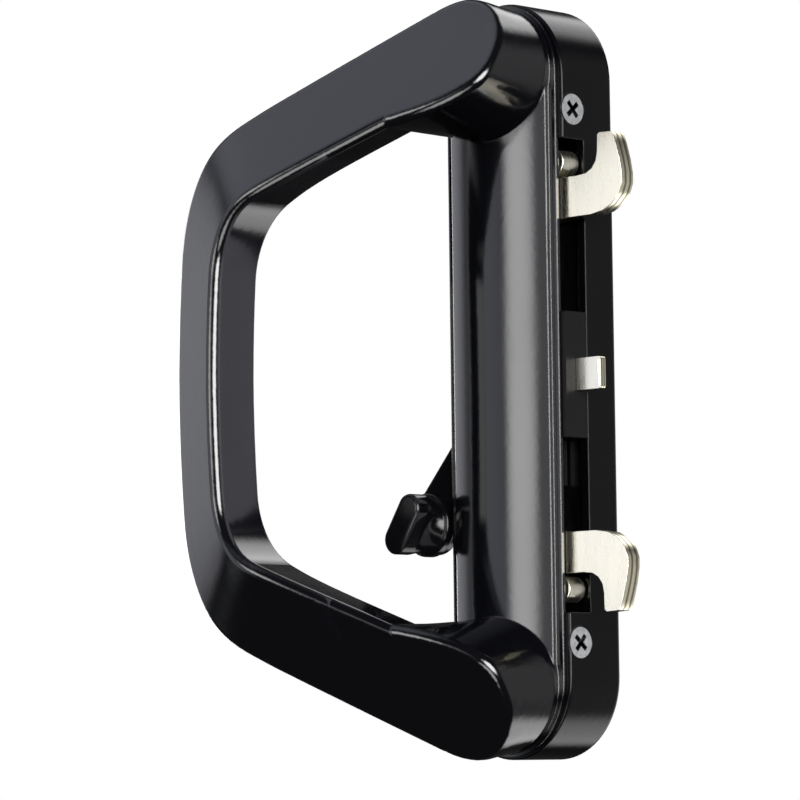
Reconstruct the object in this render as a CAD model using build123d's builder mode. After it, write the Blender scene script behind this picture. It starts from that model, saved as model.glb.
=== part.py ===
"""Surface-mounted sliding door lock: offset D pull handle, snib lever, two hook bolts and a sprung trigger.

Millimetres. The back of the lock case lies on the door in the plane Y = 0, and the handle stands out
towards -Y. +X points to the jamb that the hooks reach into, +Z is up, and the origin is the centre of the
case's back. Heights above the door are measured along -Y, so each layer is a sketch on the XZ plane,
offset by its height, and extruded outwards.
"""
from build123d import *
import os
from math import asin, atan2, cos, degrees, hypot, radians, sin, sqrt

os.makedirs("parts", exist_ok=True)

# Lock case
case_height = 187.0
case_radius = 20.0
case_depth = 18.0
case_wall = 2.5
case_floor = 2.5
case_back_round = 1.2
case_front_round = 0.5

# Pull handle: escutcheon, column and feet
plate_inset = 1.5
plate_shift = 0.9
plate_thickness = 1.0
column_half_width = 16.3
column_side = 2.2
column_rise = 6.0
column_wall = 1.8
hollow_half_width = 13.0
hollow_inset = 18.1
foot_radius = 16.9
foot_shift = 1.6
foot_straight = 3.0
foot_taper_height = 37.0
foot_flat_inset = 11.1
foot_flat_slope = 0.4
foot_corner_radius = 6.0
foot_turn_angle = -50.0
arm_proud = 0.12

# Pull handle: the loop, as seen from the front
grip_outer_x = -70.6
grip_inner_x = -53.3
knee_outer_inset = 21.2
knee_inner_inset = 35.7
knee_outer_radius = 34.0
knee_inner_radius = 20.0
arm_inner_slope = 0.474

# Pull handle: the front face, its heights taken from the case's rim
arm_rise_at_foot = 24.485
arm_face_x_slope = 0.17
arm_face_z_slope = 0.65
grip_rise = 50.8
grip_face_x_slope = 0.36
grip_back_x_slope = 0.18
grip_bow = 0.0011
face_blend = 6.0
arm_thickness = 11.5
grip_thickness = 14.5
loop_edge_round = 2.0

# Mechanism: sheet gauges, and the gaps between the layers
clear = 0.4
rim_gap = 0.2
lever_gap = 0.3
hook_gap = 0.2
bar_gap = 0.5
clip_gap = 0.9
trigger_rise = 0.6
plate_gauge = 1.5
bar_gauge = 1.6
cam_gauge = 1.2
hook_gauge = 4.2
lever_gauge = 2.5
front_plate_gauge = 1.0
trigger_gauge = 1.7
cassette_inset = 13.0
cassette_left = -12.0
cassette_screw_inset = 3.0
cassette_screw_head_radius = 2.5

# Snib lever and its knob
lever_angle = 50.5
lever_reach = 44.8
lever_hub_radius = 5.6
lever_tip_radius = 7.4
knob_base_radius = 8.0
knob_base_height = 2.6
knob_height = 11.2
thumb_length = 16.4
thumb_width = 7.4
thumb_turn = 6.0
knob_screw_radius = 1.5

# Hook bolts
pivot_x = 10.0
pivot_inset = 16.5
pivot_radius = 2.5
hook_swing = 100.0
hook_crank = 8.0
drive_pin_radius = 1.5
running_fit = 0.06
hook_hub_radius = 6.3
stop_reach = 5.6
stop_rise = 8.3
stop_radius = 3.2
stop_stem_radius = 1.2
hub_radius = 2.6
hub_square = 6.0

# Drive bars
strap_x = 7.3
strap_width = 7.8
strap_end = 10.5
fork_inset = 2.4
fork_length = 12.0
fork_width = 8.2
fork_right = 7.0

# Trigger
trigger_half_height = 3.9
trigger_nose_x = 28.2
trigger_tail_x = 14.2
trigger_stroke = 4.5
block_half_height = 15.4
block_rear_x = 8.0
block_main_x = 11.6
pocket_x = 9.0
stop_face_x = 16.5

# Case notch and slot
notch_inset = 15.5
notch_depth = 7.4
slot_margin = 2.4312

# Fasteners
side_screw_inset = 8.2
side_screw_setback = 3.7
side_screw_radius = 2.0
side_screw_head_radius = 3.8
side_screw_length = 11.0
cassette_screw_radius = 1.45
fixing_shift = 1.5
fixing_hole_radius = 2.75
fixing_thread_radius = 2.1
fixing_post_radius = 5.0

# Places along the case, from the centres of its round ends
straight = case_height - 2 * case_radius
end_z = straight / 2
plate_end_z = end_z + plate_shift
foot_z = end_z + foot_shift
foot_flat_z = foot_z - foot_flat_inset
knee_outer_z = foot_z - knee_outer_inset
knee_inner_z = foot_z - knee_inner_inset
hollow_half_height = foot_z - hollow_inset
fixing_half_spacing = end_z + fixing_shift
side_screw_z = end_z - side_screw_inset
notch_half_height = end_z - notch_inset
cassette_half_height = end_z - cassette_inset
cassette_screw_z = cassette_half_height - cassette_screw_inset
pivot_z = cassette_half_height - pivot_inset
stop_z = pivot_z + stop_rise
stop_x = pivot_x + stop_reach

# Heights above the door, from the case's rim down to the clip on the hub and up to the handle's face
front_plate_height = case_depth - rim_gap - front_plate_gauge
lever_height = front_plate_height - lever_gap - lever_gauge
hook_height = front_plate_height - clear - hook_gauge
trigger_height = hook_height + trigger_rise
cam_height = hook_height - hook_gap - cam_gauge
bar_height = cam_height - clear - bar_gauge
back_plate_height = bar_height - bar_gap - plate_gauge
clip_height = back_plate_height - clip_gap
side_screw_y = case_depth - side_screw_setback
column_height = case_depth + column_rise
foot_base_height = case_depth + foot_straight
foot_top_height = foot_base_height + foot_taper_height
arm_face_height = case_depth + arm_rise_at_foot + arm_face_z_slope * foot_z
grip_face_height = case_depth + grip_rise

# Widths and strokes
inner_radius = case_radius - case_wall
plate_radius = case_radius - plate_inset
cassette_right = inner_radius - clear
bar_stroke = 2 * hook_crank * sin(radians(hook_swing / 2))
cam_crank = bar_stroke / 2 / sin(radians(lever_angle))
slot_half_width = drive_pin_radius + 0.75
slot_half_height = lever_reach * sin(radians(lever_angle)) + slot_margin


def layer(height):
    """Plane parallel to the door at a height above it, with +X to the right and +Z up."""
    return Plane.XZ.offset(height)


def pivot_layer(height):
    """The same plane, with its origin on the top hook's pivot."""
    return Plane(origin=(pivot_x, -height, pivot_z), x_dir=(1, 0, 0), z_dir=(0, -1, 0))


def stadium(radius):
    """Upright slot outline of the case's height, with round ends of this radius."""
    return SlotOverall(straight + 2 * radius, 2 * radius, rotation=90)


# Lock case: a tray with a back, open to the front, notched on the jamb side for the hooks
with BuildPart() as lock_case:
    with BuildSketch(layer(0)):
        stadium(case_radius)
    extrude(amount=case_depth)
    fillet(lock_case.edges().group_by(Axis.Y)[-1], case_back_round)
    fillet(lock_case.edges().group_by(Axis.Y)[0], case_front_round)
    with BuildSketch(layer(case_floor)):
        stadium(inner_radius)
    extrude(amount=case_depth, mode=Mode.SUBTRACT)
    # Standoffs under the cassette's two screws
    with BuildSketch(layer(case_floor)):
        with Locations((0, cassette_screw_z), (0, -cassette_screw_z)):
            Circle(3.6)
    extrude(amount=back_plate_height - case_floor)
    with BuildSketch(layer(case_floor)):
        with Locations((0, cassette_screw_z), (0, -cassette_screw_z)):
            Circle(cassette_screw_radius + running_fit)
    extrude(amount=back_plate_height, mode=Mode.SUBTRACT)
    # Notch for the hooks and the trigger, and the lever's slot on the other side
    with BuildSketch(layer(case_depth - notch_depth)):
        with Locations((case_radius, 0)):
            Rectangle(4 * case_wall, 2 * notch_half_height)
    extrude(amount=notch_depth + 1, mode=Mode.SUBTRACT)
    with BuildSketch(layer(lever_height - clear)):
        with Locations((-case_radius, 0)):
            Rectangle(4 * case_wall, 2 * slot_half_height)
    extrude(amount=lever_gauge + 2 * clear, mode=Mode.SUBTRACT)
    # Through holes for the fixing bolts, and countersunk holes for the side screws
    with Locations(layer(0)):
        with Locations((0, fixing_half_spacing), (0, -fixing_half_spacing)):
            Hole(fixing_hole_radius)
    with Locations(Plane.YZ.offset(case_radius)):
        with Locations((-side_screw_y, side_screw_z), (-side_screw_y, -side_screw_z)):
            CounterSinkHole(side_screw_radius + 0.2, side_screw_head_radius + 0.2, depth=2 * case_wall,
                            counter_sink_angle=90)
lock_case.part.label = "lock_case"


def smooth_lower(a, b):
    """The lower of two heights, blended where they cross."""
    return (a + b - sqrt((a - b) ** 2 + face_blend ** 2)) / 2


def front_height(x, z):
    """Height of the handle's front face above the door."""
    arm = arm_face_height - arm_face_x_slope * x - arm_face_z_slope * abs(z)
    grip = grip_face_height + grip_face_x_slope * (x - grip_inner_x) - grip_bow * z * z
    return smooth_lower(arm, grip)


def back_height(x, z):
    """Height of the back of the handle's loop above the door."""
    arm = arm_face_height - arm_thickness - arm_face_x_slope * x - arm_face_z_slope * abs(z)
    grip = grip_face_height - grip_thickness + grip_back_x_slope * (x - grip_inner_x) - grip_bow * z * z
    return smooth_lower(arm, grip)


def behind(height_at):
    """Solid of everything from a curved sheet at these heights down past the door."""
    columns = [grip_outer_x - 9.4 + 5 * i for i in range(22)]
    rows = [(foot_z + 24.9) * (i - 20) / 20 for i in range(41)]
    sheet = Face.make_surface_from_array_of_points(
        [[Vector(x, -height_at(x, z), z) for z in rows] for x in columns], tol=0.05, min_deg=3)
    return Solid.extrude(sheet, (0, 120, 0))


reach = hypot(grip_outer_x, foot_z - knee_outer_z)
rise = degrees(atan2(foot_z - knee_outer_z, -grip_outer_x))
tangent = rise + degrees(asin((foot_radius + arm_proud) / reach))
touch_x = -(foot_radius + arm_proud) * sin(radians(tangent))
touch_z = foot_z + (foot_radius + arm_proud) * cos(radians(tangent))
heel_z = knee_inner_z - arm_inner_slope * grip_inner_x

# Pull handle: escutcheon plate over the case's rim, and what stands on it
with BuildPart() as escutcheon:
    with BuildSketch(layer(case_depth)):
        SlotCenterToCenter(2 * plate_end_z, 2 * plate_radius, rotation=90)
    extrude(amount=plate_thickness)
    # Convex column between the feet
    with BuildSketch(Plane.XY.offset(4 - foot_z)):
        with BuildLine():
            Polyline(
                (-column_half_width, -case_depth - column_side), (-column_half_width, -case_depth - 0.4),
                (column_half_width, -case_depth - 0.4), (column_half_width, -case_depth - column_side))
            ThreePointArc(
                (-column_half_width, -case_depth - column_side), (0, -column_height),
                (column_half_width, -case_depth - column_side))
        make_face()
    extrude(amount=2 * foot_z - 8)
    # Hollow behind the column
    with BuildSketch(Plane.XY.offset(-hollow_half_height)):
        with BuildLine():
            ThreePointArc(
                (-hollow_half_width, -case_depth + 0.5), (0, -column_height + column_wall),
                (hollow_half_width, -case_depth + 0.5))
            Line((hollow_half_width, -case_depth + 0.5), (-hollow_half_width, -case_depth + 0.5))
        make_face()
    extrude(amount=2 * hollow_half_height, mode=Mode.SUBTRACT)
    # Lugs for the side screws and posts for the bolts through the door
    with BuildSketch(layer(side_screw_y - 4.2)):
        with Locations((inner_radius - 5.4, side_screw_z), (inner_radius - 5.4, -side_screw_z)):
            Rectangle(10.4, 7.6)
    extrude(amount=case_depth - side_screw_y + 4.2)
    with BuildSketch(layer(case_floor)):
        with Locations((0, fixing_half_spacing), (0, -fixing_half_spacing)):
            Circle(fixing_post_radius)
    extrude(amount=case_depth - case_floor)
    with BuildSketch(Plane.YZ.offset(case_radius - side_screw_length - 0.6)):
        with Locations((-side_screw_y, side_screw_z), (-side_screw_y, -side_screw_z)):
            Circle(side_screw_radius)
    extrude(amount=10, mode=Mode.SUBTRACT)
    with BuildSketch(layer(case_floor)):
        with Locations((0, fixing_half_spacing), (0, -fixing_half_spacing)):
            Circle(fixing_thread_radius)
    extrude(amount=12, mode=Mode.SUBTRACT)

# Pull handle: a foot, round where it stands and drawn in under the arm to a flat with a round corner
flat_drop = foot_z - foot_flat_z
flat_unit = hypot(1, foot_flat_slope)
corner_drop = flat_drop - foot_corner_radius * flat_unit
corner_reach = foot_radius - foot_corner_radius
corner_x = (foot_flat_slope * corner_drop + sqrt(
    (corner_reach * flat_unit) ** 2 - corner_drop ** 2)) / flat_unit ** 2
corner_z = foot_z - corner_drop + foot_flat_slope * corner_x
flat_start_x = (foot_flat_slope * flat_drop - sqrt(
    (foot_radius * flat_unit) ** 2 - flat_drop ** 2)) / flat_unit ** 2
start_angle = degrees(atan2(foot_flat_slope * flat_start_x - flat_drop, flat_start_x))
end_angle = degrees(atan2(corner_z - foot_z, corner_x))
flat_angle = degrees(atan2(-1, foot_flat_slope))


def on_circle(x, z, radius, angle):
    """Point on a circle seen from the front."""
    return (x + radius * cos(radians(angle)), z + radius * sin(radians(angle)))


with BuildPart() as upper_foot:
    with BuildSketch(layer(foot_base_height)):
        with BuildLine():
            stops = (start_angle, (start_angle + foot_turn_angle) / 2, foot_turn_angle,
                     (foot_turn_angle + end_angle) / 2, end_angle, end_angle + 120, start_angle + 360)
            at = [on_circle(0, foot_z, foot_radius, angle) for angle in stops]
            ThreePointArc(at[0], at[1], at[2])
            ThreePointArc(at[2], at[3], at[4])
            ThreePointArc(at[4], at[5], at[0])
        make_face()
    with BuildSketch(layer(foot_top_height)):
        with BuildLine():
            flat_end = on_circle(corner_x, corner_z, foot_corner_radius, flat_angle)
            corner_middle = on_circle(corner_x, corner_z, foot_corner_radius, (flat_angle + end_angle) / 2)
            Line(at[0], flat_end)
            ThreePointArc(flat_end, corner_middle, at[4])
            ThreePointArc(at[4], at[5], at[0])
        make_face()
    loft(ruled=True)
    with BuildSketch(layer(case_depth)):
        with Locations((0, foot_z)):
            Circle(foot_radius)
    extrude(amount=foot_base_height - case_depth)

with BuildPart() as shaped_foot:
    add(upper_foot.part)
    add(behind(front_height), mode=Mode.INTERSECT)
    curved = shaped_foot.faces().filter_by(GeomType.BSPLINE)
    fillet([face for face in curved if face.normal_at(face.center()).Y < -0.5][0].edges(), loop_edge_round)

# Pull handle: the loop between the two feet
with BuildPart() as loop:
    with BuildSketch(layer(case_depth)):
        with BuildLine():
            outer = FilletPolyline(
                (touch_x, touch_z), (grip_outer_x, knee_outer_z), (grip_outer_x, -knee_outer_z),
                (touch_x, -touch_z), radius=knee_outer_radius)
            inner = FilletPolyline(
                (0, heel_z), (grip_inner_x, knee_inner_z), (grip_inner_x, -knee_inner_z), (0, -heel_z),
                radius=knee_inner_radius)
            Line(outer @ 0, inner @ 0)
            Line(outer @ 1, inner @ 1)
        make_face()
    extrude(amount=60)
    add(behind(front_height), mode=Mode.INTERSECT)
    add(behind(back_height), mode=Mode.SUBTRACT)
    front_edges = loop.faces().filter_by(GeomType.BSPLINE).sort_by(SortBy.AREA)[-1].edges()
    hidden_ends = front_edges.sort_by(Axis.X)[-2:]
    fillet([edge for edge in front_edges if edge not in hidden_ends], loop_edge_round)
    add(shaped_foot.part)
    mirror(shaped_foot.part, about=Plane.XY)

casting = loop.part.fuse(escutcheon.part).fix()
with BuildPart() as pull_handle:
    add(casting)
    # Room for the heads of the cassette's screws
    with BuildSketch(layer(case_depth - 0.5)):
        with Locations((0, cassette_screw_z), (0, -cassette_screw_z)):
            Circle(cassette_screw_head_radius + 0.4)
    extrude(amount=2.5, mode=Mode.SUBTRACT)
pull_handle.part.label = "pull_handle"

# Cassette: two plates held apart by spacers on its screws
with BuildPart() as cassette_back_plate:
    with BuildSketch(layer(back_plate_height)):
        with Locations(((cassette_left + cassette_right) / 2, 0)):
            RectangleRounded(cassette_right - cassette_left, 2 * cassette_half_height, 1.5)
        Circle(hub_radius + running_fit, mode=Mode.SUBTRACT)
        with Locations((0, cassette_screw_z), (0, -cassette_screw_z)):
            Circle(cassette_screw_radius + 0.15, mode=Mode.SUBTRACT)
        with Locations((pivot_x, pivot_z), (pivot_x, -pivot_z)):
            Circle(pivot_radius + 0.03, mode=Mode.SUBTRACT)
    extrude(amount=plate_gauge)
cassette_back_plate.part.label = "cassette_back_plate"

with BuildPart() as cassette_front_plate:
    with BuildSketch(layer(front_plate_height)):
        with Locations(((cassette_left + cassette_right) / 2, 0)):
            RectangleRounded(cassette_right - cassette_left, 2 * cassette_half_height, 1.5)
        Circle(hub_radius + running_fit, mode=Mode.SUBTRACT)
        with Locations((0, cassette_screw_z), (0, -cassette_screw_z)):
            Circle(cassette_screw_radius + 0.15, mode=Mode.SUBTRACT)
        with Locations((pivot_x, pivot_z), (pivot_x, -pivot_z)):
            Circle(pivot_radius + 0.03, mode=Mode.SUBTRACT)
        with Locations((stop_x, stop_z), (stop_x, -stop_z)):
            Circle(stop_stem_radius + 0.03, mode=Mode.SUBTRACT)
    extrude(amount=front_plate_gauge)
cassette_front_plate.part.label = "cassette_front_plate"

with BuildPart() as cassette_spacers:
    with BuildSketch(layer(back_plate_height + plate_gauge)):
        with Locations((0, cassette_screw_z), (0, -cassette_screw_z)):
            Circle(2.6)
            Circle(cassette_screw_radius + 0.15, mode=Mode.SUBTRACT)
    extrude(amount=front_plate_height - back_plate_height - plate_gauge)
cassette_spacers.part.label = "cassette_spacers"

with BuildPart() as cassette_screws:
    with BuildSketch(layer(case_floor + 0.5)):
        with Locations((0, cassette_screw_z), (0, -cassette_screw_z)):
            Circle(cassette_screw_radius)
    extrude(amount=front_plate_height + front_plate_gauge - case_floor - 0.5)
    with BuildSketch(layer(front_plate_height + front_plate_gauge)):
        with Locations((0, cassette_screw_z), (0, -cassette_screw_z)):
            Circle(cassette_screw_head_radius)
    extrude(amount=1.6)
    fillet(cassette_screws.edges().group_by(Axis.Y)[0], 0.5)
    with BuildSketch(layer(front_plate_height + front_plate_gauge + 0.7)):
        with Locations((0, cassette_screw_z), (0, -cassette_screw_z)):
            Rectangle(3.2, 0.7)
            Rectangle(0.7, 3.2)
    extrude(amount=1, mode=Mode.SUBTRACT)
cassette_screws.part.label = "cassette_screws"

# Side screws: countersunk heads flush with the jamb side of the case
with BuildPart() as case_screw_top:
    with BuildSketch(Plane.YZ.offset(case_radius - side_screw_length)):
        with Locations((-side_screw_y, side_screw_z)):
            Circle(side_screw_radius - 0.05)
    extrude(amount=side_screw_length - 3)
    with BuildSketch(Plane.YZ.offset(case_radius - 3)):
        with Locations((-side_screw_y, side_screw_z)):
            Circle(side_screw_radius)
    extrude(amount=3)
    with BuildSketch(Plane.YZ.offset(case_radius)):
        with Locations((-side_screw_y, side_screw_z)):
            Circle(side_screw_head_radius)
    extrude(amount=-(side_screw_head_radius - side_screw_radius), taper=45)
    with BuildSketch(Plane.YZ.offset(case_radius - 1.5)):
        with Locations(Location((-side_screw_y, side_screw_z), 45)):
            Rectangle(4.4, 1.0)
            Rectangle(1.0, 4.4)
    extrude(amount=2, mode=Mode.SUBTRACT)
case_screw_top.part.label = "case_screw_top"

with BuildPart() as case_screw_bottom:
    mirror(case_screw_top.part, about=Plane.XY)
case_screw_bottom.part.label = "case_screw_bottom"

# Hook bolts, each with its drive pin on the back
with BuildPart() as top_hook:
    with BuildSketch(pivot_layer(hook_height)):
        with BuildLine():
            Line((0, -hook_hub_radius), (17.4, -5.8))
            ThreePointArc((17.4, -5.8), (24.4, -3.7), (27.7, 0.6))
            Line((27.7, 0.6), (25.0, 8.6))
            Line((25.0, 8.6), (24.5, 13.4))
            Line((24.5, 13.4), (19.8, 13.6))
            Line((19.8, 13.6), (20.0, 8.6))
            ThreePointArc((20.0, 8.6), (18.8, 5.9), (16.0, 4.4))
            Line((16.0, 4.4), (12.0, 3.9))
            Line((12.0, 3.9), (4.5, 4.4))
            Line((4.5, 4.4), (0, 0))
            Line((0, 0), (0, -hook_hub_radius))
        make_face()
        Circle(hook_hub_radius)
        with Locations(Location((0, 0), hook_swing / 2 - 90)):
            with Locations((0, -hook_crank)):
                Circle(2 * drive_pin_radius)
            with Locations((0, -hook_crank / 2)):
                Rectangle(4 * drive_pin_radius, hook_crank)
    extrude(amount=hook_gauge)
    with Locations(pivot_layer(hook_height)):
        Hole(pivot_radius + running_fit)
    with BuildSketch(pivot_layer(bar_height + 0.1)):
        with Locations(Location((0, 0), hook_swing / 2 - 90)):
            with Locations((0, -hook_crank)):
                Circle(drive_pin_radius)
    extrude(amount=hook_height - bar_height)
top_hook.part.label = "top_hook"

with BuildPart() as bottom_hook:
    mirror(top_hook.part, about=Plane.XY)
bottom_hook.part.label = "bottom_hook"

with BuildPart() as top_pivot_pin:
    with BuildSketch(layer(back_plate_height)):
        with Locations((pivot_x, pivot_z)):
            Circle(pivot_radius)
    extrude(amount=front_plate_height + front_plate_gauge - back_plate_height)
top_pivot_pin.part.label = "top_pivot_pin"

with BuildPart() as bottom_pivot_pin:
    mirror(top_pivot_pin.part, about=Plane.XY)
bottom_pivot_pin.part.label = "bottom_pivot_pin"

with BuildPart() as top_stop_post:
    with BuildSketch(layer(case_depth - notch_depth + 0.3)):
        with Locations((stop_x, stop_z)):
            Circle(stop_radius)
    extrude(amount=front_plate_height - case_depth + notch_depth - 0.3)
    fillet(top_stop_post.edges(), 0.4)
    with BuildSketch(layer(case_depth - notch_depth + 2)):
        with Locations((stop_x, stop_z)):
            Circle(stop_stem_radius)
    extrude(amount=front_plate_height + front_plate_gauge - case_depth + notch_depth - 2)
top_stop_post.part.label = "top_stop_post"

with BuildPart() as bottom_stop_post:
    mirror(top_stop_post.part, about=Plane.XY)
bottom_stop_post.part.label = "bottom_stop_post"

# Drive bars: the snib's cam pins move them apart along Z, and their forks turn the hooks
fork_top = pivot_z - fork_inset
strap_top = fork_top - fork_length + 0.9
with BuildPart() as top_drive_bar:
    with BuildSketch(layer(bar_height)):
        with Locations((-strap_x, (strap_top - strap_end) / 2)):
            Rectangle(strap_width, strap_top + strap_end)
        with Locations((fork_right - (fork_right + strap_x + strap_width / 2) / 2, strap_top - 3)):
            Rectangle(fork_right + strap_x + strap_width / 2, 6)
        with Locations((fork_right - fork_width / 2, fork_top - fork_length / 2)):
            Rectangle(fork_width, fork_length)
        with Locations((strap_width / 2 - strap_x - 3.25, -bar_stroke / 2)):
            Rectangle(6.5, 2 * slot_half_width, mode=Mode.SUBTRACT)
        with Locations((0.2 + 5, pivot_z - bar_stroke / 2)):
            Rectangle(10, 2 * slot_half_width, mode=Mode.SUBTRACT)
    extrude(amount=bar_gauge)
top_drive_bar.part.label = "top_drive_bar"

with BuildPart() as bottom_drive_bar:
    with BuildSketch(layer(bar_height)):
        with Locations((strap_x, (strap_end - strap_top + 4) / 2)):
            Rectangle(strap_width, strap_top - 4 + strap_end)
        with Locations((fork_right - fork_width / 2, 3 - strap_top)):
            Rectangle(fork_width, 6)
        with Locations((fork_right - fork_width / 2, fork_length / 2 - fork_top)):
            Rectangle(fork_width, fork_length)
        with Locations((strap_x - strap_width / 2 + 3.25, bar_stroke / 2)):
            Rectangle(6.5, 2 * slot_half_width, mode=Mode.SUBTRACT)
        with Locations((0.2 + 5, bar_stroke / 2 - pivot_z)):
            Rectangle(10, 2 * slot_half_width, mode=Mode.SUBTRACT)
    extrude(amount=bar_gauge)
bottom_drive_bar.part.label = "bottom_drive_bar"

# Snib: a cam between the plates, with the lever, the knob and its screw turning with it
with BuildPart() as snib_cam:
    with BuildSketch(layer(clip_height - 0.7)):
        Circle(hub_radius)
    extrude(amount=bar_height - clip_height + 0.7 + 0.3)
    with BuildSketch(layer(bar_height - 0.2)):
        Circle(hub_radius + 0.4)
    extrude(amount=cam_height - bar_height + 0.2)
    with BuildSketch(layer(cam_height)):
        Circle(4.6)
        with Locations(Location((0, 0), lever_angle)):
            Rectangle(2 * cam_crank, 4.6)
            with Locations((cam_crank, 0), (-cam_crank, 0)):
                Circle(2.3)
    extrude(amount=cam_gauge)
    with BuildSketch(layer(bar_height + 0.1)):
        with Locations(Location((0, 0), lever_angle)):
            with Locations((cam_crank, 0), (-cam_crank, 0)):
                Circle(drive_pin_radius)
    extrude(amount=cam_height - bar_height)
    with BuildSketch(layer(cam_height + cam_gauge)):
        with Locations(Location((0, 0), lever_angle)):
            Rectangle(hub_square, hub_square)
    extrude(amount=lever_height + lever_gauge - cam_height - cam_gauge)
    with BuildSketch(layer(lever_height + lever_gauge)):
        Circle(hub_radius)
    extrude(amount=front_plate_height + front_plate_gauge - lever_height - lever_gauge)
    with BuildSketch(layer(clip_height)):
        Circle(hub_radius + 1)
        Circle(hub_radius - 0.6, mode=Mode.SUBTRACT)
    extrude(amount=0.7, mode=Mode.SUBTRACT)
snib_cam.part.label = "snib_cam"

with BuildPart() as hub_clip:
    with BuildSketch(layer(clip_height + 0.05)):
        Circle(4.6)
        Circle(hub_radius - 0.6, mode=Mode.SUBTRACT)
        with Locations((-4, 0)):
            Rectangle(8, 2.8, mode=Mode.SUBTRACT)
    extrude(amount=0.6)
hub_clip.part.label = "hub_clip"

tip_x = -lever_reach * cos(radians(lever_angle))
tip_z = -lever_reach * sin(radians(lever_angle))
with BuildPart() as snib_lever:
    with BuildSketch(layer(lever_height)):
        Circle(lever_hub_radius)
        with Locations((tip_x, tip_z)):
            Circle(lever_tip_radius)
        make_hull()
        with Locations(Location((0, 0), lever_angle)):
            Rectangle(hub_square + 0.06, hub_square + 0.06, mode=Mode.SUBTRACT)
        with Locations((tip_x, tip_z)):
            Circle(knob_screw_radius + 0.1, mode=Mode.SUBTRACT)
    extrude(amount=lever_gauge)
snib_lever.part.label = "snib_lever"

with BuildPart() as snib_knob:
    with BuildSketch(layer(lever_height + lever_gauge)):
        with Locations((tip_x, tip_z)):
            Circle(knob_base_radius)
    extrude(amount=knob_base_height)
    fillet(snib_knob.edges().group_by(Axis.Y)[0], 0.8)
    with BuildSketch(layer(lever_height + lever_gauge + knob_base_height)):
        with Locations((tip_x, tip_z)):
            Circle(knob_base_radius - 1)
    with BuildSketch(layer(lever_height + lever_gauge + knob_base_height + 3.6)):
        with Locations(Location((tip_x, tip_z), lever_angle + thumb_turn)):
            SlotOverall(thumb_length, thumb_width)
    loft()
    with BuildSketch(layer(lever_height + lever_gauge + knob_base_height + 3.6)):
        with Locations(Location((tip_x, tip_z), lever_angle + thumb_turn)):
            SlotOverall(thumb_length, thumb_width)
    extrude(amount=knob_height - knob_base_height - 3.6)
    fillet(snib_knob.edges().group_by(Axis.Y)[0], 1.0)
    with BuildSketch(layer(lever_height + lever_gauge)):
        with Locations((tip_x, tip_z)):
            Circle(knob_screw_radius)
    extrude(amount=7, mode=Mode.SUBTRACT)
snib_knob.part.label = "snib_knob"

with BuildPart() as knob_screw:
    with BuildSketch(layer(lever_height - 1.6)):
        with Locations((tip_x, tip_z)):
            Circle(2.6)
    extrude(amount=1.6)
    with BuildSketch(layer(lever_height)):
        with Locations((tip_x, tip_z)):
            Circle(knob_screw_radius - 0.05)
    extrude(amount=lever_gauge + 6.4)
    fillet(knob_screw.edges().group_by(Axis.Y)[-1], 0.4)
    with BuildSketch(layer(lever_height - 1.6)):
        with Locations((tip_x, tip_z)):
            Rectangle(3.2, 0.6)
            Rectangle(0.6, 3.2)
    extrude(amount=0.8, mode=Mode.SUBTRACT)
knob_screw.part.label = "knob_screw"

# Guide block and the trigger that runs in its window
with BuildPart() as guide_block:
    with BuildSketch(layer(back_plate_height + plate_gauge)):
        with Locations(((block_main_x + inner_radius - 0.1) / 2, 0)):
            Rectangle(inner_radius - 0.1 - block_main_x, 2 * block_half_height)
    extrude(amount=front_plate_height - back_plate_height - plate_gauge)
    with BuildSketch(layer(trigger_height - 0.2)):
        with Locations(((block_rear_x + block_main_x) / 2 + 1, 0)):
            Rectangle(block_main_x - block_rear_x + 2, 2 * block_half_height)
    extrude(amount=front_plate_height - trigger_height + 0.2)
    with BuildSketch(layer(case_depth - notch_depth + 0.1)):
        with Locations((case_radius - 1.45, 0)):
            Rectangle(2.7, 2 * block_half_height)
    extrude(amount=notch_depth - 0.2)
    with BuildSketch(layer(trigger_height - 0.1)):
        with Locations(((pocket_x + stop_face_x) / 2, 0)):
            Rectangle(stop_face_x - pocket_x, 24.4)
    extrude(amount=10, mode=Mode.SUBTRACT)
    with BuildSketch(layer(trigger_height - 0.1)):
        with Locations((stop_face_x + 3, 0)):
            Rectangle(8, 2 * trigger_half_height + 0.4)
    extrude(amount=trigger_gauge + 0.2, mode=Mode.SUBTRACT)
guide_block.part.label = "guide_block"

with BuildPart() as trigger_plunger:
    with BuildSketch(layer(trigger_height)):
        with Locations(((trigger_tail_x + trigger_nose_x) / 2, 0)):
            Rectangle(trigger_nose_x - trigger_tail_x, 2 * trigger_half_height)
        with Locations((trigger_tail_x + 1, 0)):
            Rectangle(2, 13)
    extrude(amount=trigger_gauge)
    fillet(trigger_plunger.edges().filter_by(Axis.Y).group_by(Axis.X)[-1], 0.8)
    with BuildSketch(layer(trigger_height + trigger_gauge)):
        with Locations((trigger_nose_x - 0.9, 0)):
            Rectangle(0.6, 2 * trigger_half_height - 1.6)
    extrude(amount=0.3)
trigger_plunger.part.label = "trigger_plunger"

with BuildPart() as plunger_spring:
    with BuildSketch(layer(trigger_height + 0.1)):
        with BuildLine():
            ThreePointArc((9.2, 11), (13.7, 0), (9.2, -11))
            Line((9.2, -11), (9.7, -11))
            ThreePointArc((9.7, -11), (14.1, 0), (9.7, 11))
            Line((9.7, 11), (9.2, 11))
        make_face()
    extrude(amount=trigger_gauge - 0.2)
plunger_spring.part.label = "plunger_spring"

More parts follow.
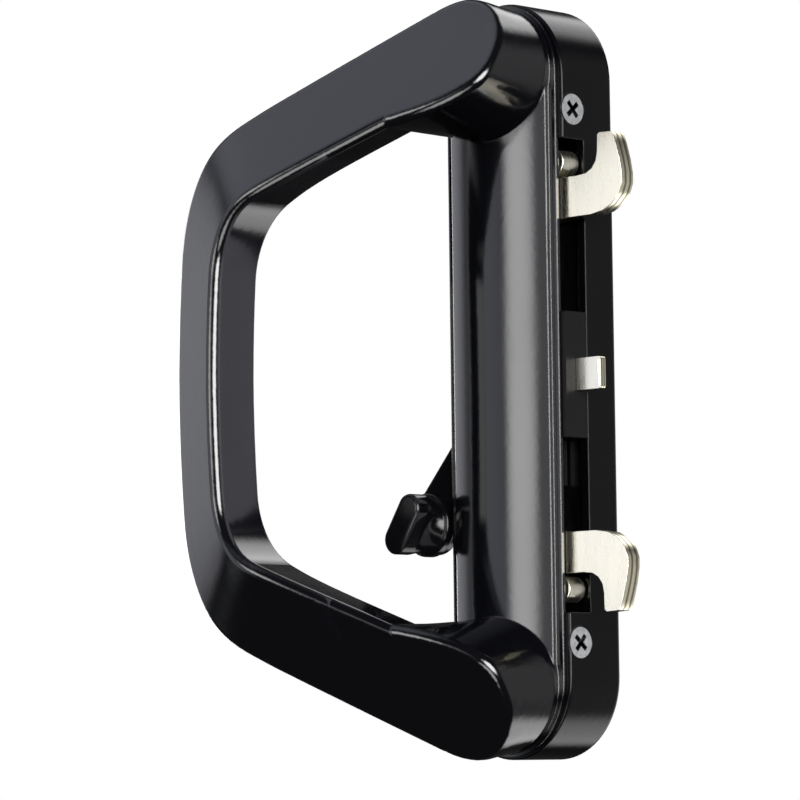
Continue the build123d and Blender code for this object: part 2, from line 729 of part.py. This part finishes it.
for node in (pull_handle, lock_case, cassette_back_plate, cassette_front_plate, cassette_spacers,
             cassette_screws, top_stop_post, bottom_stop_post, top_pivot_pin, bottom_pivot_pin, top_hook,
             bottom_hook, top_drive_bar, bottom_drive_bar, snib_cam, hub_clip, snib_lever, snib_knob,
             knob_screw, guide_block, trigger_plunger, plunger_spring, case_screw_top, case_screw_bottom):
    export_step(node.part, f"parts/{node.part.label}.step")
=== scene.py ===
import math

import bmesh
import bpy
from mathutils import Euler, Matrix, Vector


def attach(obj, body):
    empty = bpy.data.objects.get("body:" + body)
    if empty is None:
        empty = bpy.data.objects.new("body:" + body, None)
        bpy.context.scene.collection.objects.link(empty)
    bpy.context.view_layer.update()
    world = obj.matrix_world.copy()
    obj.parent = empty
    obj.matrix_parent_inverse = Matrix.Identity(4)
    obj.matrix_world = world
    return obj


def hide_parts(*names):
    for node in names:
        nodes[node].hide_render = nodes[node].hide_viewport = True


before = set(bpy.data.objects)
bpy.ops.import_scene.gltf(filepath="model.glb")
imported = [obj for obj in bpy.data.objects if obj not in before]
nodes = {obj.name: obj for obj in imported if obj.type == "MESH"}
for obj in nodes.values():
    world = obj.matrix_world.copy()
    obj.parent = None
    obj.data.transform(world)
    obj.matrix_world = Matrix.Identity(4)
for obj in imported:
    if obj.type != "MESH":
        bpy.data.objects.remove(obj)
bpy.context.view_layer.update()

# Camera: stands a metre off to the right of the lock and a little below it, looking up,
# with a long lens, so that the front, the jamb side and the underside of the loop are seen.
camera_data = bpy.data.cameras.new("camera")
camera_data.lens = 188.32
camera_data.sensor_width = 36.0
camera_data.clip_start = 0.05
camera = bpy.data.objects.new("camera", camera_data)
camera.location = (0.716212, -0.755258, -0.094625)
camera.rotation_euler = Euler((math.radians(95.0004), math.radians(0.6874), math.radians(45.7101)))
bpy.context.scene.collection.objects.link(camera)
bpy.context.scene.camera = camera
bpy.context.scene.view_settings.view_transform = "Standard"

# Studio: a white room for the camera. What lights the lock, and what its gloss shows, are a few soft
# sources: the way to each, the cosines where it starts and is full, its brightness and its tint.
soft_sources = {
    "left_wall": ((-0.995, 0.05, 0.09), 0.93, 0.998, 1.0, (0.91, 0.92, 1.0)),
    "low_front": ((0.30, -0.77, -0.56), 0.93, 0.985, 6.0, (1.0, 1.0, 1.0)),
    "far_left_edge": ((-0.93, 0.37, -0.06), 0.955, 0.99, 4.0, (1.0, 1.0, 1.0)),
    "tall_strip": ((-0.25, -0.964, 0.087), 0.957, 0.9998, 7.4, (0.99, 0.985, 0.98)),
    "strip_fringe": ((0.09, -0.996, 0.087), 0.972, 0.999, 1.2, (0.96, 0.97, 1.0)),
    "front_left": ((-0.74, -0.67, 0.0), 0.86, 0.99, 1.08, (0.88, 0.91, 1.0)),
    "high_left": ((-0.53, -0.35, 0.77), 0.74, 0.98, 1.00, (0.85, 0.88, 1.0)),
    "behind_above": ((-0.12, 0.72, 0.69), 0.92, 0.99, 3.2, (1.0, 1.0, 1.0)),
    "behind_below": ((0.07, 0.72, -0.69), 0.925, 0.99, 3.0, (1.0, 1.0, 1.0)),
    "behind_right": ((0.71, 0.70, 0.09), 0.80, 0.98, 0.45, (1.0, 1.0, 1.0)),
    "behind": ((0.15, 0.95, -0.25), 0.85, 0.99, 1.8, (1.0, 1.0, 1.0)),
    "right_edge": ((0.866, -0.50, 0.08), 0.90, 0.97, 20.0, (1.0, 1.0, 1.0)),
}
room_level = 0.035
world = bpy.data.worlds.new("room")
bpy.context.scene.world = world
world.use_nodes = True
tree = world.node_tree
tree.nodes.clear()
direction = tree.nodes.new("ShaderNodeTexCoord")
light_sum = None
for toward, start, full, level, tint in soft_sources.values():
    facing = tree.nodes.new("ShaderNodeVectorMath")
    facing.operation = "DOT_PRODUCT"
    facing.inputs[1].default_value = Vector(toward).normalized()
    tree.links.new(direction.outputs["Generated"], facing.inputs[0])
    spread = tree.nodes.new("ShaderNodeMapRange")
    spread.interpolation_type = "SMOOTHSTEP"
    spread.inputs["From Min"].default_value = start
    spread.inputs["From Max"].default_value = full
    tree.links.new(facing.outputs["Value"], spread.inputs["Value"])
    glow = tree.nodes.new("ShaderNodeVectorMath")
    glow.operation = "SCALE"
    glow.inputs[0].default_value = [level * c for c in tint]
    tree.links.new(spread.outputs["Result"], glow.inputs["Scale"])
    if light_sum is None:
        light_sum = glow.outputs["Vector"]
    else:
        both = tree.nodes.new("ShaderNodeVectorMath")
        both.operation = "ADD"
        tree.links.new(light_sum, both.inputs[0])
        tree.links.new(glow.outputs["Vector"], both.inputs[1])
        light_sum = both.outputs["Vector"]
lifted = tree.nodes.new("ShaderNodeVectorMath")
lifted.operation = "ADD"
lifted.inputs[1].default_value = (room_level, room_level, room_level)
tree.links.new(light_sum, lifted.inputs[0])
seen_by = tree.nodes.new("ShaderNodeLightPath")
room_light = tree.nodes.new("ShaderNodeBackground")
tree.links.new(lifted.outputs["Vector"], room_light.inputs["Color"])
white_wall = tree.nodes.new("ShaderNodeBackground")
white_wall.inputs["Color"].default_value = (1.0, 1.0, 1.0, 1.0)
choose = tree.nodes.new("ShaderNodeMixShader")
tree.links.new(seen_by.outputs["Is Camera Ray"], choose.inputs["Fac"])
tree.links.new(room_light.outputs["Background"], choose.inputs[1])
tree.links.new(white_wall.outputs["Background"], choose.inputs[2])
room_out = tree.nodes.new("ShaderNodeOutputWorld")
tree.links.new(choose.outputs["Shader"], room_out.inputs["Surface"])

# Fill card: a small panel of light in the hand space, between the grip and the column. It is
# turned to the inner wall of the grip, and it isn't seen itself.
card_data = bpy.data.lights.new("fill_card", "AREA")
card_data.shape = "RECTANGLE"
card_data.size = 0.13
card_data.size_y = 0.036
card_data.energy = 0.0145
card_data.color = (0.90, 0.90, 1.0)
card = bpy.data.objects.new("fill_card", card_data)
card.location = (-0.0225, -0.042, 0.0)
card.rotation_euler = Euler((0.0, math.radians(90), 0.0))
card.visible_camera = False
bpy.context.scene.collection.objects.link(card)

# Floor: a plain pale sheet well below the lock, as white as the room to the camera. The gloss
# looks through it, to the sources that stand low.
floor_level = -0.32
floor_reach = 8
floor_corners = [(x, y, floor_level) for x, y in ((-1, -1), (1, -1), (1, 1), (-1, 1))]
floor_mesh = bpy.data.meshes.new("floor")
floor_mesh.from_pydata([(x * floor_reach, y * floor_reach, z) for x, y, z in floor_corners], [],
                       [(0, 1, 2, 3)])
floor = bpy.data.objects.new("floor", floor_mesh)
bpy.context.scene.collection.objects.link(floor)
floor_paint = bpy.data.materials.new("floor_paint")
floor_paint.use_nodes = True
tree = floor_paint.node_tree
tree.nodes.clear()
matt = tree.nodes.new("ShaderNodeBsdfDiffuse")
matt.inputs["Color"].default_value = (0.03, 0.03, 0.03, 1.0)
white = tree.nodes.new("ShaderNodeEmission")
white.inputs["Color"].default_value = (1.0, 1.0, 1.0, 1.0)
seen_by = tree.nodes.new("ShaderNodeLightPath")
choose = tree.nodes.new("ShaderNodeMixShader")
tree.links.new(seen_by.outputs["Is Camera Ray"], choose.inputs["Fac"])
tree.links.new(matt.outputs["BSDF"], choose.inputs[1])
tree.links.new(white.outputs["Emission"], choose.inputs[2])
paint_out = tree.nodes.new("ShaderNodeOutputMaterial")
tree.links.new(choose.outputs["Shader"], paint_out.inputs["Surface"])
floor_mesh.materials.append(floor_paint)
floor.visible_glossy = False


# Lock case: a zinc casting in black enamel, sprayed and baked. The enamel of all the castings has
# a faint orange-peel skin, a little dust in the lacquer, and edges that the spray has rounded.
def enamel_skin_group():
    """Fine unevenness of sprayed enamel: a peel height, and a mask of dust and small rubs."""
    group = bpy.data.node_groups.new("enamel_skin", "ShaderNodeTree")
    face = group.interface
    face.new_socket("Vector", in_out="INPUT", socket_type="NodeSocketVector")
    face.new_socket("Peel Scale", in_out="INPUT", socket_type="NodeSocketFloat")
    face.new_socket("Dust Amount", in_out="INPUT", socket_type="NodeSocketFloat")
    face.new_socket("Height", in_out="OUTPUT", socket_type="NodeSocketFloat")
    face.new_socket("Dust", in_out="OUTPUT", socket_type="NodeSocketFloat")
    face.new_socket("Cloud", in_out="OUTPUT", socket_type="NodeSocketFloat")
    come = group.nodes.new("NodeGroupInput")
    go = group.nodes.new("NodeGroupOutput")
    peel = group.nodes.new("ShaderNodeTexNoise")
    peel.inputs["Detail"].default_value = 2.0
    group.links.new(come.outputs["Vector"], peel.inputs["Vector"])
    group.links.new(come.outputs["Peel Scale"], peel.inputs["Scale"])
    group.links.new(peel.outputs["Fac"], go.inputs["Height"])
    specks = group.nodes.new("ShaderNodeTexVoronoi")
    specks.inputs["Scale"].default_value = 420.0
    group.links.new(come.outputs["Vector"], specks.inputs["Vector"])
    near = group.nodes.new("ShaderNodeMapRange")
    near.inputs["From Min"].default_value = 0.10
    near.inputs["From Max"].default_value = 0.04
    group.links.new(specks.outputs["Distance"], near.inputs["Value"])
    held = group.nodes.new("ShaderNodeMath")
    held.operation = "MULTIPLY"
    group.links.new(near.outputs["Result"], held.inputs[0])
    group.links.new(come.outputs["Dust Amount"], held.inputs[1])
    group.links.new(held.outputs["Value"], go.inputs["Dust"])
    cloud = group.nodes.new("ShaderNodeTexNoise")
    cloud.inputs["Scale"].default_value = 38.0
    cloud.inputs["Detail"].default_value = 4.0
    group.links.new(come.outputs["Vector"], cloud.inputs["Vector"])
    group.links.new(cloud.outputs["Fac"], go.inputs["Cloud"])
    return group


def bare_material(name):
    """A material with its shader, and the object's own coordinates for its pattern."""
    material = bpy.data.materials.new(name)
    material.use_nodes = True
    shader = material.node_tree.nodes["Principled BSDF"]
    coords = material.node_tree.nodes.new("ShaderNodeTexCoord")
    return material, material.node_tree, shader, coords


def blend_colours(tree, low, high, mask):
    """A colour that goes from low to high with a mask."""
    mix = tree.nodes.new("ShaderNodeMix")
    mix.data_type = "RGBA"
    mix.inputs["A"].default_value = (*low, 1.0)
    mix.inputs["B"].default_value = (*high, 1.0)
    tree.links.new(mask, mix.inputs["Factor"])
    return mix.outputs["Result"]


def spread_value(tree, mask, low, high, start=0.0, full=1.0):
    """A value that goes from low to high while a mask goes from start to full."""
    spread = tree.nodes.new("ShaderNodeMapRange")
    spread.inputs["From Min"].default_value = start
    spread.inputs["From Max"].default_value = full
    spread.inputs["To Min"].default_value = low
    spread.inputs["To Max"].default_value = high
    tree.links.new(mask, spread.inputs["Value"])
    return spread.outputs["Result"]


def raise_surface(tree, shader, height, strength, distance):
    """A bump from a height that feeds the shader's normal."""
    bump = tree.nodes.new("ShaderNodeBump")
    bump.inputs["Strength"].default_value = strength
    bump.inputs["Distance"].default_value = distance
    tree.links.new(height, bump.inputs["Height"])
    tree.links.new(bump.outputs["Normal"], shader.inputs["Normal"])
    return bump


def dress(names, material):
    """Gives CAD nodes their finish."""
    for name in names:
        piece = nodes[name]
        if not piece.material_slots:
            piece.data.materials.append(material)
        for slot in piece.material_slots:
            slot.material = material


enamel_skin = enamel_skin_group()
enamel_dust = 0.35
enamel_edge_round = 0.00055
enamel_peel_height = 0.00012


def black_enamel(name, colour, dusty, roughness, peel, shine=0.5):
    """Gloss black enamel on a casting."""
    material, tree, shader, coords = bare_material(name)
    skin = tree.nodes.new("ShaderNodeGroup")
    skin.node_tree = enamel_skin
    skin.inputs["Peel Scale"].default_value = peel
    skin.inputs["Dust Amount"].default_value = enamel_dust
    tree.links.new(coords.outputs["Object"], skin.inputs["Vector"])
    tree.links.new(blend_colours(tree, colour, dusty, skin.outputs["Dust"]), shader.inputs["Base Color"])
    tree.links.new(spread_value(tree, skin.outputs["Cloud"], roughness - 0.03, roughness + 0.05, 0.3, 0.7),
                   shader.inputs["Roughness"])
    shader.inputs["IOR"].default_value = 1.52
    shader.inputs["Specular IOR Level"].default_value = shine
    edge = tree.nodes.new("ShaderNodeBevel")
    edge.samples = 6
    edge.inputs["Radius"].default_value = enamel_edge_round
    bump = raise_surface(tree, shader, skin.outputs["Height"], 0.12, enamel_peel_height)
    tree.links.new(edge.outputs["Normal"], bump.inputs["Normal"])
    return material


case_enamel = black_enamel("case_enamel", (0.0015, 0.0015, 0.002), (0.010, 0.010, 0.011), 0.16, 700.0, 0.14)
dress(["lock_case"], case_enamel)


# Guide block: a moulding in black nylon that guides the trigger in the middle of the notch, with
# the fine matt grain of its tool.
def moulded_nylon(name, colour, light):
    """Black nylon with a fine spark-eroded grain."""
    material, tree, shader, coords = bare_material(name)
    grit = tree.nodes.new("ShaderNodeTexNoise")
    grit.inputs["Scale"].default_value = 2600.0
    grit.inputs["Detail"].default_value = 3.0
    tree.links.new(coords.outputs["Object"], grit.inputs["Vector"])
    tree.links.new(blend_colours(tree, colour, light, grit.outputs["Fac"]), shader.inputs["Base Color"])
    tree.links.new(spread_value(tree, grit.outputs["Fac"], 0.38, 0.55, 0.3, 0.7), shader.inputs["Roughness"])
    shader.inputs["Specular IOR Level"].default_value = 0.12
    raise_surface(tree, shader, grit.outputs["Fac"], 0.35, 0.00004)
    return material


block_nylon = moulded_nylon("block_nylon", (0.003, 0.003, 0.003), (0.007, 0.007, 0.007))
dress(["guide_block"], block_nylon)


# Cassette: two pressed plates of blackened strip steel, with the drive bars and the snib's cam
# between them, in the same steel. They are seen only through the notch.
def stamped_steel(name, face_colour, edge_colour, seams, roughness):
    """Stamped steel: brushed faces, and edges with streaks along the thickness."""
    material, tree, shader, coords = bare_material(name)
    shader.inputs["Metallic"].default_value = 1.0
    split = tree.nodes.new("ShaderNodeSeparateXYZ")
    tree.links.new(coords.outputs["Normal"], split.inputs["Vector"])
    flat = tree.nodes.new("ShaderNodeMath")
    flat.operation = "ABSOLUTE"
    tree.links.new(split.outputs["Y"], flat.inputs[0])
    on_face = spread_value(tree, flat.outputs["Value"], 0.0, 1.0, 0.35, 0.75)
    drawn = tree.nodes.new("ShaderNodeMapping")
    drawn.inputs["Scale"].default_value = (600.0, 3000.0, 90.0)
    tree.links.new(coords.outputs["Object"], drawn.inputs["Vector"])
    grain = tree.nodes.new("ShaderNodeTexNoise")
    grain.inputs["Scale"].default_value = 1.0
    grain.inputs["Detail"].default_value = 5.0
    tree.links.new(drawn.outputs["Vector"], grain.inputs["Vector"])
    layers = tree.nodes.new("ShaderNodeTexWave")
    layers.wave_type = "BANDS"
    layers.bands_direction = "Y"
    layers.inputs["Scale"].default_value = seams
    layers.inputs["Distortion"].default_value = 0.6
    layers.inputs["Detail"].default_value = 2.0
    layers.inputs["Detail Scale"].default_value = 2.0
    tree.links.new(coords.outputs["Object"], layers.inputs["Vector"])
    seam = spread_value(tree, layers.outputs["Fac"], 0.0, 1.0, 0.15, 0.55)
    seam_dark = [0.30 * c for c in edge_colour]
    brushed_dark = [0.95 * c for c in face_colour]
    body = tree.nodes.new("ShaderNodeMix")
    body.data_type = "RGBA"
    tree.links.new(on_face, body.inputs["Factor"])
    tree.links.new(blend_colours(tree, seam_dark, edge_colour, seam), body.inputs["A"])
    tree.links.new(blend_colours(tree, brushed_dark, face_colour, grain.outputs["Fac"]), body.inputs["B"])
    tree.links.new(body.outputs["Result"], shader.inputs["Base Color"])
    tree.links.new(spread_value(tree, grain.outputs["Fac"], roughness - 0.03, roughness + 0.06, 0.3, 0.7),
                   shader.inputs["Roughness"])
    raise_surface(tree, shader, grain.outputs["Fac"], 0.10, 0.00002)
    return material


strip_steel = stamped_steel("strip_steel", (0.05, 0.05, 0.05), (0.04, 0.04, 0.04), 600.0, 0.34)
dress(["cassette_back_plate", "cassette_front_plate"], strip_steel)
dress(["top_drive_bar", "bottom_drive_bar", "snib_cam"], strip_steel)


# Turned parts: the stop posts, the pivot pins and the cassette's spacers come off an automatic
# lathe, with fine rings round their axis, and are plated with nickel.
def turned_steel(name, colour, dark, rings, roughness):
    """Plated steel with turning marks round the Y axis."""
    material, tree, shader, coords = bare_material(name)
    shader.inputs["Metallic"].default_value = 1.0
    squeeze = tree.nodes.new("ShaderNodeMapping")
    squeeze.inputs["Scale"].default_value = (20.0, rings, 20.0)
    tree.links.new(coords.outputs["Object"], squeeze.inputs["Vector"])
    marks = tree.nodes.new("ShaderNodeTexNoise")
    marks.inputs["Scale"].default_value = 1.0
    marks.inputs["Detail"].default_value = 3.0
    tree.links.new(squeeze.outputs["Vector"], marks.inputs["Vector"])
    tree.links.new(blend_colours(tree, dark, colour, marks.outputs["Fac"]), shader.inputs["Base Color"])
    tree.links.new(spread_value(tree, marks.outputs["Fac"], roughness - 0.05, roughness + 0.12, 0.3, 0.7),
                   shader.inputs["Roughness"])
    raise_surface(tree, shader, marks.outputs["Fac"], 0.3, 0.00003)
    return material


post_nickel = turned_steel("post_nickel", (0.86, 0.83, 0.72), (0.55, 0.52, 0.42), 2600.0, 0.28)
dress(["top_stop_post", "bottom_stop_post", "cassette_spacers"], post_nickel)
dress(["top_pivot_pin", "bottom_pivot_pin"], post_nickel)

# Hooks: each is a stack of steel blanks, pinned together, ground flat and plated in satin nickel,
# so the faces are brushed across and the edges show the joints between the blanks.
nickel_edge = (0.62, 0.58, 0.44)
hook_nickel = stamped_steel("hook_nickel", (0.93, 0.88, 0.735), nickel_edge, 190.0, 0.26)
hook_pivot = (10.0, 44.0)
hook_back = -0.0122
hook_front = -0.0164
hook_hub_radius = 6.3
hook_eye_radius = 2.56
crank_x = -5.14
crank_z = -6.13
crank_radius = 3.0
drive_pin_radius = 0.0015
drive_pin_length = 0.0033
drive_pin_middle = -0.01055
hook_edge_round = 0.00038


def arc(x, z, radius, turns):
    """Points on a round stretch of the outline, at angles in degrees."""
    bearings = [math.radians(turn) for turn in turns]
    return [(x + radius * math.cos(bearing), z + radius * math.sin(bearing)) for bearing in bearings]


def hook_piece(name, node, body, side):
    """One hook with its rounded nose, its eye, its crank and the drive pin on its back, edges broken."""
    ring = [(10.0, -5.6), (17.4, -5.6), (21.4, -5.0), (24.4, -3.6), (26.7, -1.4), (27.8, 1.2), (27.8, 3.8),
            (27.1, 7.4), (26.1, 10.8), (25.2, 13.3), (24.5, 14.0), (20.6, 14.2), (19.9, 13.6), (19.8, 9.6),
            (19.3, 7.4), (18.0, 5.7), (16.0, 4.7), (13.0, 4.4), (4.6, 4.4)]
    ring += arc(0.0, 0.0, hook_hub_radius, range(50, 200, 10))
    ring += arc(crank_x, crank_z, crank_radius, range(140, 321, 15))
    ring += arc(0.0, 0.0, hook_hub_radius, range(260, 281, 10))
    eye = arc(0.0, 0.0, hook_eye_radius, range(0, 360, 12))
    shape = bmesh.new()
    borders = []
    for line in (ring, eye):
        corners = [shape.verts.new(((hook_pivot[0] + x) / 1000, hook_back, side * (hook_pivot[1] + z) / 1000))
                   for x, z in line]
        borders += [shape.edges.new((corners[i - 1], corners[i])) for i in range(len(corners))]
    bmesh.ops.triangle_fill(shape, use_beauty=True, edges=borders)
    grown = bmesh.ops.extrude_face_region(shape, geom=shape.faces[:])
    for corner in [part for part in grown["geom"] if isinstance(part, bmesh.types.BMVert)]:
        corner.co.y = hook_front
    bmesh.ops.recalc_face_normals(shape, faces=shape.faces)
    pin_x = (hook_pivot[0] + crank_x) / 1000
    pin_z = side * (hook_pivot[1] + crank_z) / 1000
    place = Matrix.Translation((pin_x, drive_pin_middle, pin_z)) @ Matrix.Rotation(math.pi / 2, 4, "X")
    bmesh.ops.create_cone(shape, cap_ends=True, segments=32,
                          radius1=drive_pin_radius, radius2=drive_pin_radius,
                          depth=drive_pin_length, matrix=place)
    mesh = bpy.data.meshes.new(name)
    shape.to_mesh(mesh)
    shape.free()
    piece = bpy.data.objects.new(name, mesh)
    bpy.context.scene.collection.objects.link(piece)
    mesh.materials.append(hook_nickel)
    broken = piece.modifiers.new("broken_edges", "BEVEL")
    broken.width = hook_edge_round
    broken.segments = 3
    broken.limit_method = "ANGLE"
    broken.angle_limit = math.radians(40)
    broken.harden_normals = True
    mesh.shade_smooth()
    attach(piece, body)
    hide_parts(node)


hook_piece("top_hook_steel", "top_hook", "top_hook_body", 1)
hook_piece("bottom_hook_steel", "bottom_hook", "bottom_hook_body", -1)

# Trigger: a thin steel blade with a folded lip, plated like the hooks. It slides in the guide
# block and stands out of the notch.
trigger_nickel = stamped_steel("trigger_nickel", (0.80, 0.77, 0.68), nickel_edge, 400.0, 0.24)
dress(["trigger_plunger"], trigger_nickel)


# Screws: cold-headed steel with a bright zinc plating. These two sets hold the cassette in the
# case, and the knob on the snib's lever.
def zinc_plate(name, colour, dull, roughness):
    """Bright zinc plating with its faint blotches."""
    material, tree, shader, coords = bare_material(name)
    shader.inputs["Metallic"].default_value = 1.0
    blotch = tree.nodes.new("ShaderNodeTexNoise")
    blotch.inputs["Scale"].default_value = 700.0
    blotch.inputs["Detail"].default_value = 4.0
    tree.links.new(coords.outputs["Object"], blotch.inputs["Vector"])
    tree.links.new(blend_colours(tree, dull, colour, blotch.outputs["Fac"]), shader.inputs["Base Color"])
    tree.links.new(spread_value(tree, blotch.outputs["Fac"], roughness - 0.06, roughness + 0.12, 0.3, 0.7),
                   shader.inputs["Roughness"])
    raise_surface(tree, shader, blotch.outputs["Fac"], 0.2, 0.00004)
    return material


screw_zinc = zinc_plate("screw_zinc", (0.92, 0.93, 0.95), (0.62, 0.63, 0.66), 0.30)
dress(["cassette_screws", "knob_screw"], screw_zinc)

# Side screws: the same plating, on the two countersunk screws in the side of the case. Each head has a cross
# recess, turned by some 45 degrees; the material darkens a cross over it, turned by 40 degrees, as painted
# shade inside the recess.
side_screw_zinc = zinc_plate("side_screw_zinc", (0.80, 0.81, 0.82), (0.52, 0.53, 0.55), 0.28)
side_screw_centre = (0.0, 0.0143, 0.0653)
cross_turn = 40
cross_half = 0.0005
cross_reach = 0.0023
cross_edge = 0.0002


def paint_cross_shade(material):
    """Paints shade: a dark cross on each head, from how far a point lies off the middle of the head, for the
    shade in the recess.
    """
    tree = material.node_tree
    base = tree.nodes["Principled BSDF"].inputs["Base Color"]
    plating = base.links[0].from_socket
    folded = tree.nodes.new("ShaderNodeVectorMath")
    folded.operation = "ABSOLUTE"
    tree.links.new(tree.nodes["Texture Coordinate"].outputs["Object"], folded.inputs[0])
    centred = tree.nodes.new("ShaderNodeVectorMath")
    centred.operation = "SUBTRACT"
    centred.inputs[1].default_value = side_screw_centre
    tree.links.new(folded.outputs["Vector"], centred.inputs[0])
    turned = tree.nodes.new("ShaderNodeVectorRotate")
    turned.rotation_type = "X_AXIS"
    turned.inputs["Angle"].default_value = math.radians(cross_turn)
    tree.links.new(centred.outputs["Vector"], turned.inputs["Vector"])
    arms = tree.nodes.new("ShaderNodeVectorMath")
    arms.operation = "ABSOLUTE"
    tree.links.new(turned.outputs["Vector"], arms.inputs[0])
    split = tree.nodes.new("ShaderNodeSeparateXYZ")
    tree.links.new(arms.outputs["Vector"], split.inputs["Vector"])
    inside = tree.nodes.new("ShaderNodeMath")
    inside.operation = "MULTIPLY"
    for socket, pick, limit in ((0, "MINIMUM", cross_half), (1, "MAXIMUM", cross_reach)):
        measure = tree.nodes.new("ShaderNodeMath")
        measure.operation = pick
        tree.links.new(split.outputs["Y"], measure.inputs[0])
        tree.links.new(split.outputs["Z"], measure.inputs[1])
        tree.links.new(spread_value(tree, measure.outputs["Value"], 1.0, 0.0, limit, limit + cross_edge),
                       inside.inputs[socket])
    # Painted shade: the cross takes a near-black colour, standing in for the shade inside the recess.
    recess_shade = tree.nodes.new("ShaderNodeMix")
    recess_shade.data_type = "RGBA"
    recess_shade.inputs["B"].default_value = (0.012, 0.012, 0.013, 1.0)
    tree.links.new(inside.outputs["Value"], recess_shade.inputs["Factor"])
    tree.links.new(plating, recess_shade.inputs["A"])
    tree.links.new(recess_shade.outputs["Result"], base)


paint_cross_shade(side_screw_zinc)
dress(["case_screw_top", "case_screw_bottom"], side_screw_zinc)

# Springs: the bow spring behind the trigger and the clip on the snib's shaft are blued spring
# steel, so they are darker than the plated parts round them.
spring_steel = zinc_plate("spring_steel", (0.36, 0.38, 0.42), (0.22, 0.23, 0.27), 0.32)
dress(["plunger_spring", "hub_clip"], spring_steel)

# Pull handle: one zinc casting, polished before it is enamelled. Its loop is drawn out fuller on the
# outside than the plain solid, so that the outer edge of the grip, the knees and the arms lies where
# the eye sees it. Places are in x and the height up the door, and the lower half mirrors the upper.
handle_enamel = black_enamel("handle_enamel", (0.002, 0.0021, 0.003), (0.012, 0.012, 0.014), 0.11, 620.0)
full_grip = 0.0036
full_arm = 0.0028
full_foot = 0.0015
loop_width = 0.015
loop_base = 0.0205
loop_base_fade = 0.008
grip_outer_x = -0.0706
grip_normal = Vector((-1.0, 0.0))
arm_normal = Vector((-0.499, 0.867))
arm_run = Vector((-0.867, -0.499))
arm_length = 0.045
knee_radius = 0.034
knee_centre = Vector((-0.0366, 0.0343))
foot_centre = Vector((0.0, 0.0751))
foot_radius = 0.01702
foot_fade = 0.75
knee_start_slope = 0.02
knee_end_slope = -0.5755
face_fall = 0.36
arm_face_fall = 0.12
touch = foot_centre + arm_normal * foot_radius


def drawn_out(at):
    """For a point of the loop: which way is out, how far inside the edge it lies, and how much it moves."""
    from_knee = at - knee_centre
    from_foot = at - foot_centre
    along = (at - touch).dot(arm_run)
    if along < 0:
        out = from_foot.normalized()
        fade = max(0.0, min(1.0, (foot_fade - out.x) / foot_fade)) if out.y > 0 else 0.0
        return out, foot_radius - from_foot.length, full_foot * fade
    if from_knee.y <= 0 or from_knee.x < 0 and from_knee.y < -from_knee.x * knee_start_slope:
        return grip_normal, at.x - grip_outer_x, full_grip
    out = from_knee.normalized()
    if out.dot(arm_normal) < 0.999 and from_knee.x < from_knee.y * knee_end_slope:
        rise = max(0.0, out.y) / arm_normal.y
        return out, knee_radius - from_knee.length, full_grip + (full_arm - full_grip) * rise
    nearness = min(1.0, along / arm_length)
    return arm_normal, (touch - at).dot(arm_normal), full_foot + (full_arm - full_foot) * nearness


handle_mesh = nodes["pull_handle"].data.copy()
handle_mesh.name = "full_handle"
for vertex in handle_mesh.vertices:
    side = 1.0 if vertex.co.z >= 0 else -1.0
    out, inside, amount = drawn_out(Vector((vertex.co.x, abs(vertex.co.z))))
    share = max(0.0, min(1.0, 1.0 - inside / loop_width))
    share = share * share * (3 - 2 * share)
    share = share * max(0.0, min(1.0, (-vertex.co.y - loop_base) / loop_base_fade))
    shift = amount * share
    vertex.co.x += out.x * shift
    vertex.co.z += side * out.y * shift
    vertex.co.y += (face_fall + arm_face_fall * max(0.0, out.y)) * shift
handle = bpy.data.objects.new("full_handle", handle_mesh)
bpy.context.scene.collection.objects.link(handle)
handle_mesh.materials.clear()
handle_mesh.materials.append(handle_enamel)
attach(handle, "base")
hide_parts("pull_handle")

# Snib: the lever and its thumb knob are small castings in the same enamel, a little less glossy
# from handling.
snib_enamel = black_enamel("snib_enamel", (0.002, 0.002, 0.0025), (0.012, 0.012, 0.013), 0.12, 800.0, 0.2)
dress(["snib_lever", "snib_knob"], snib_enamel)
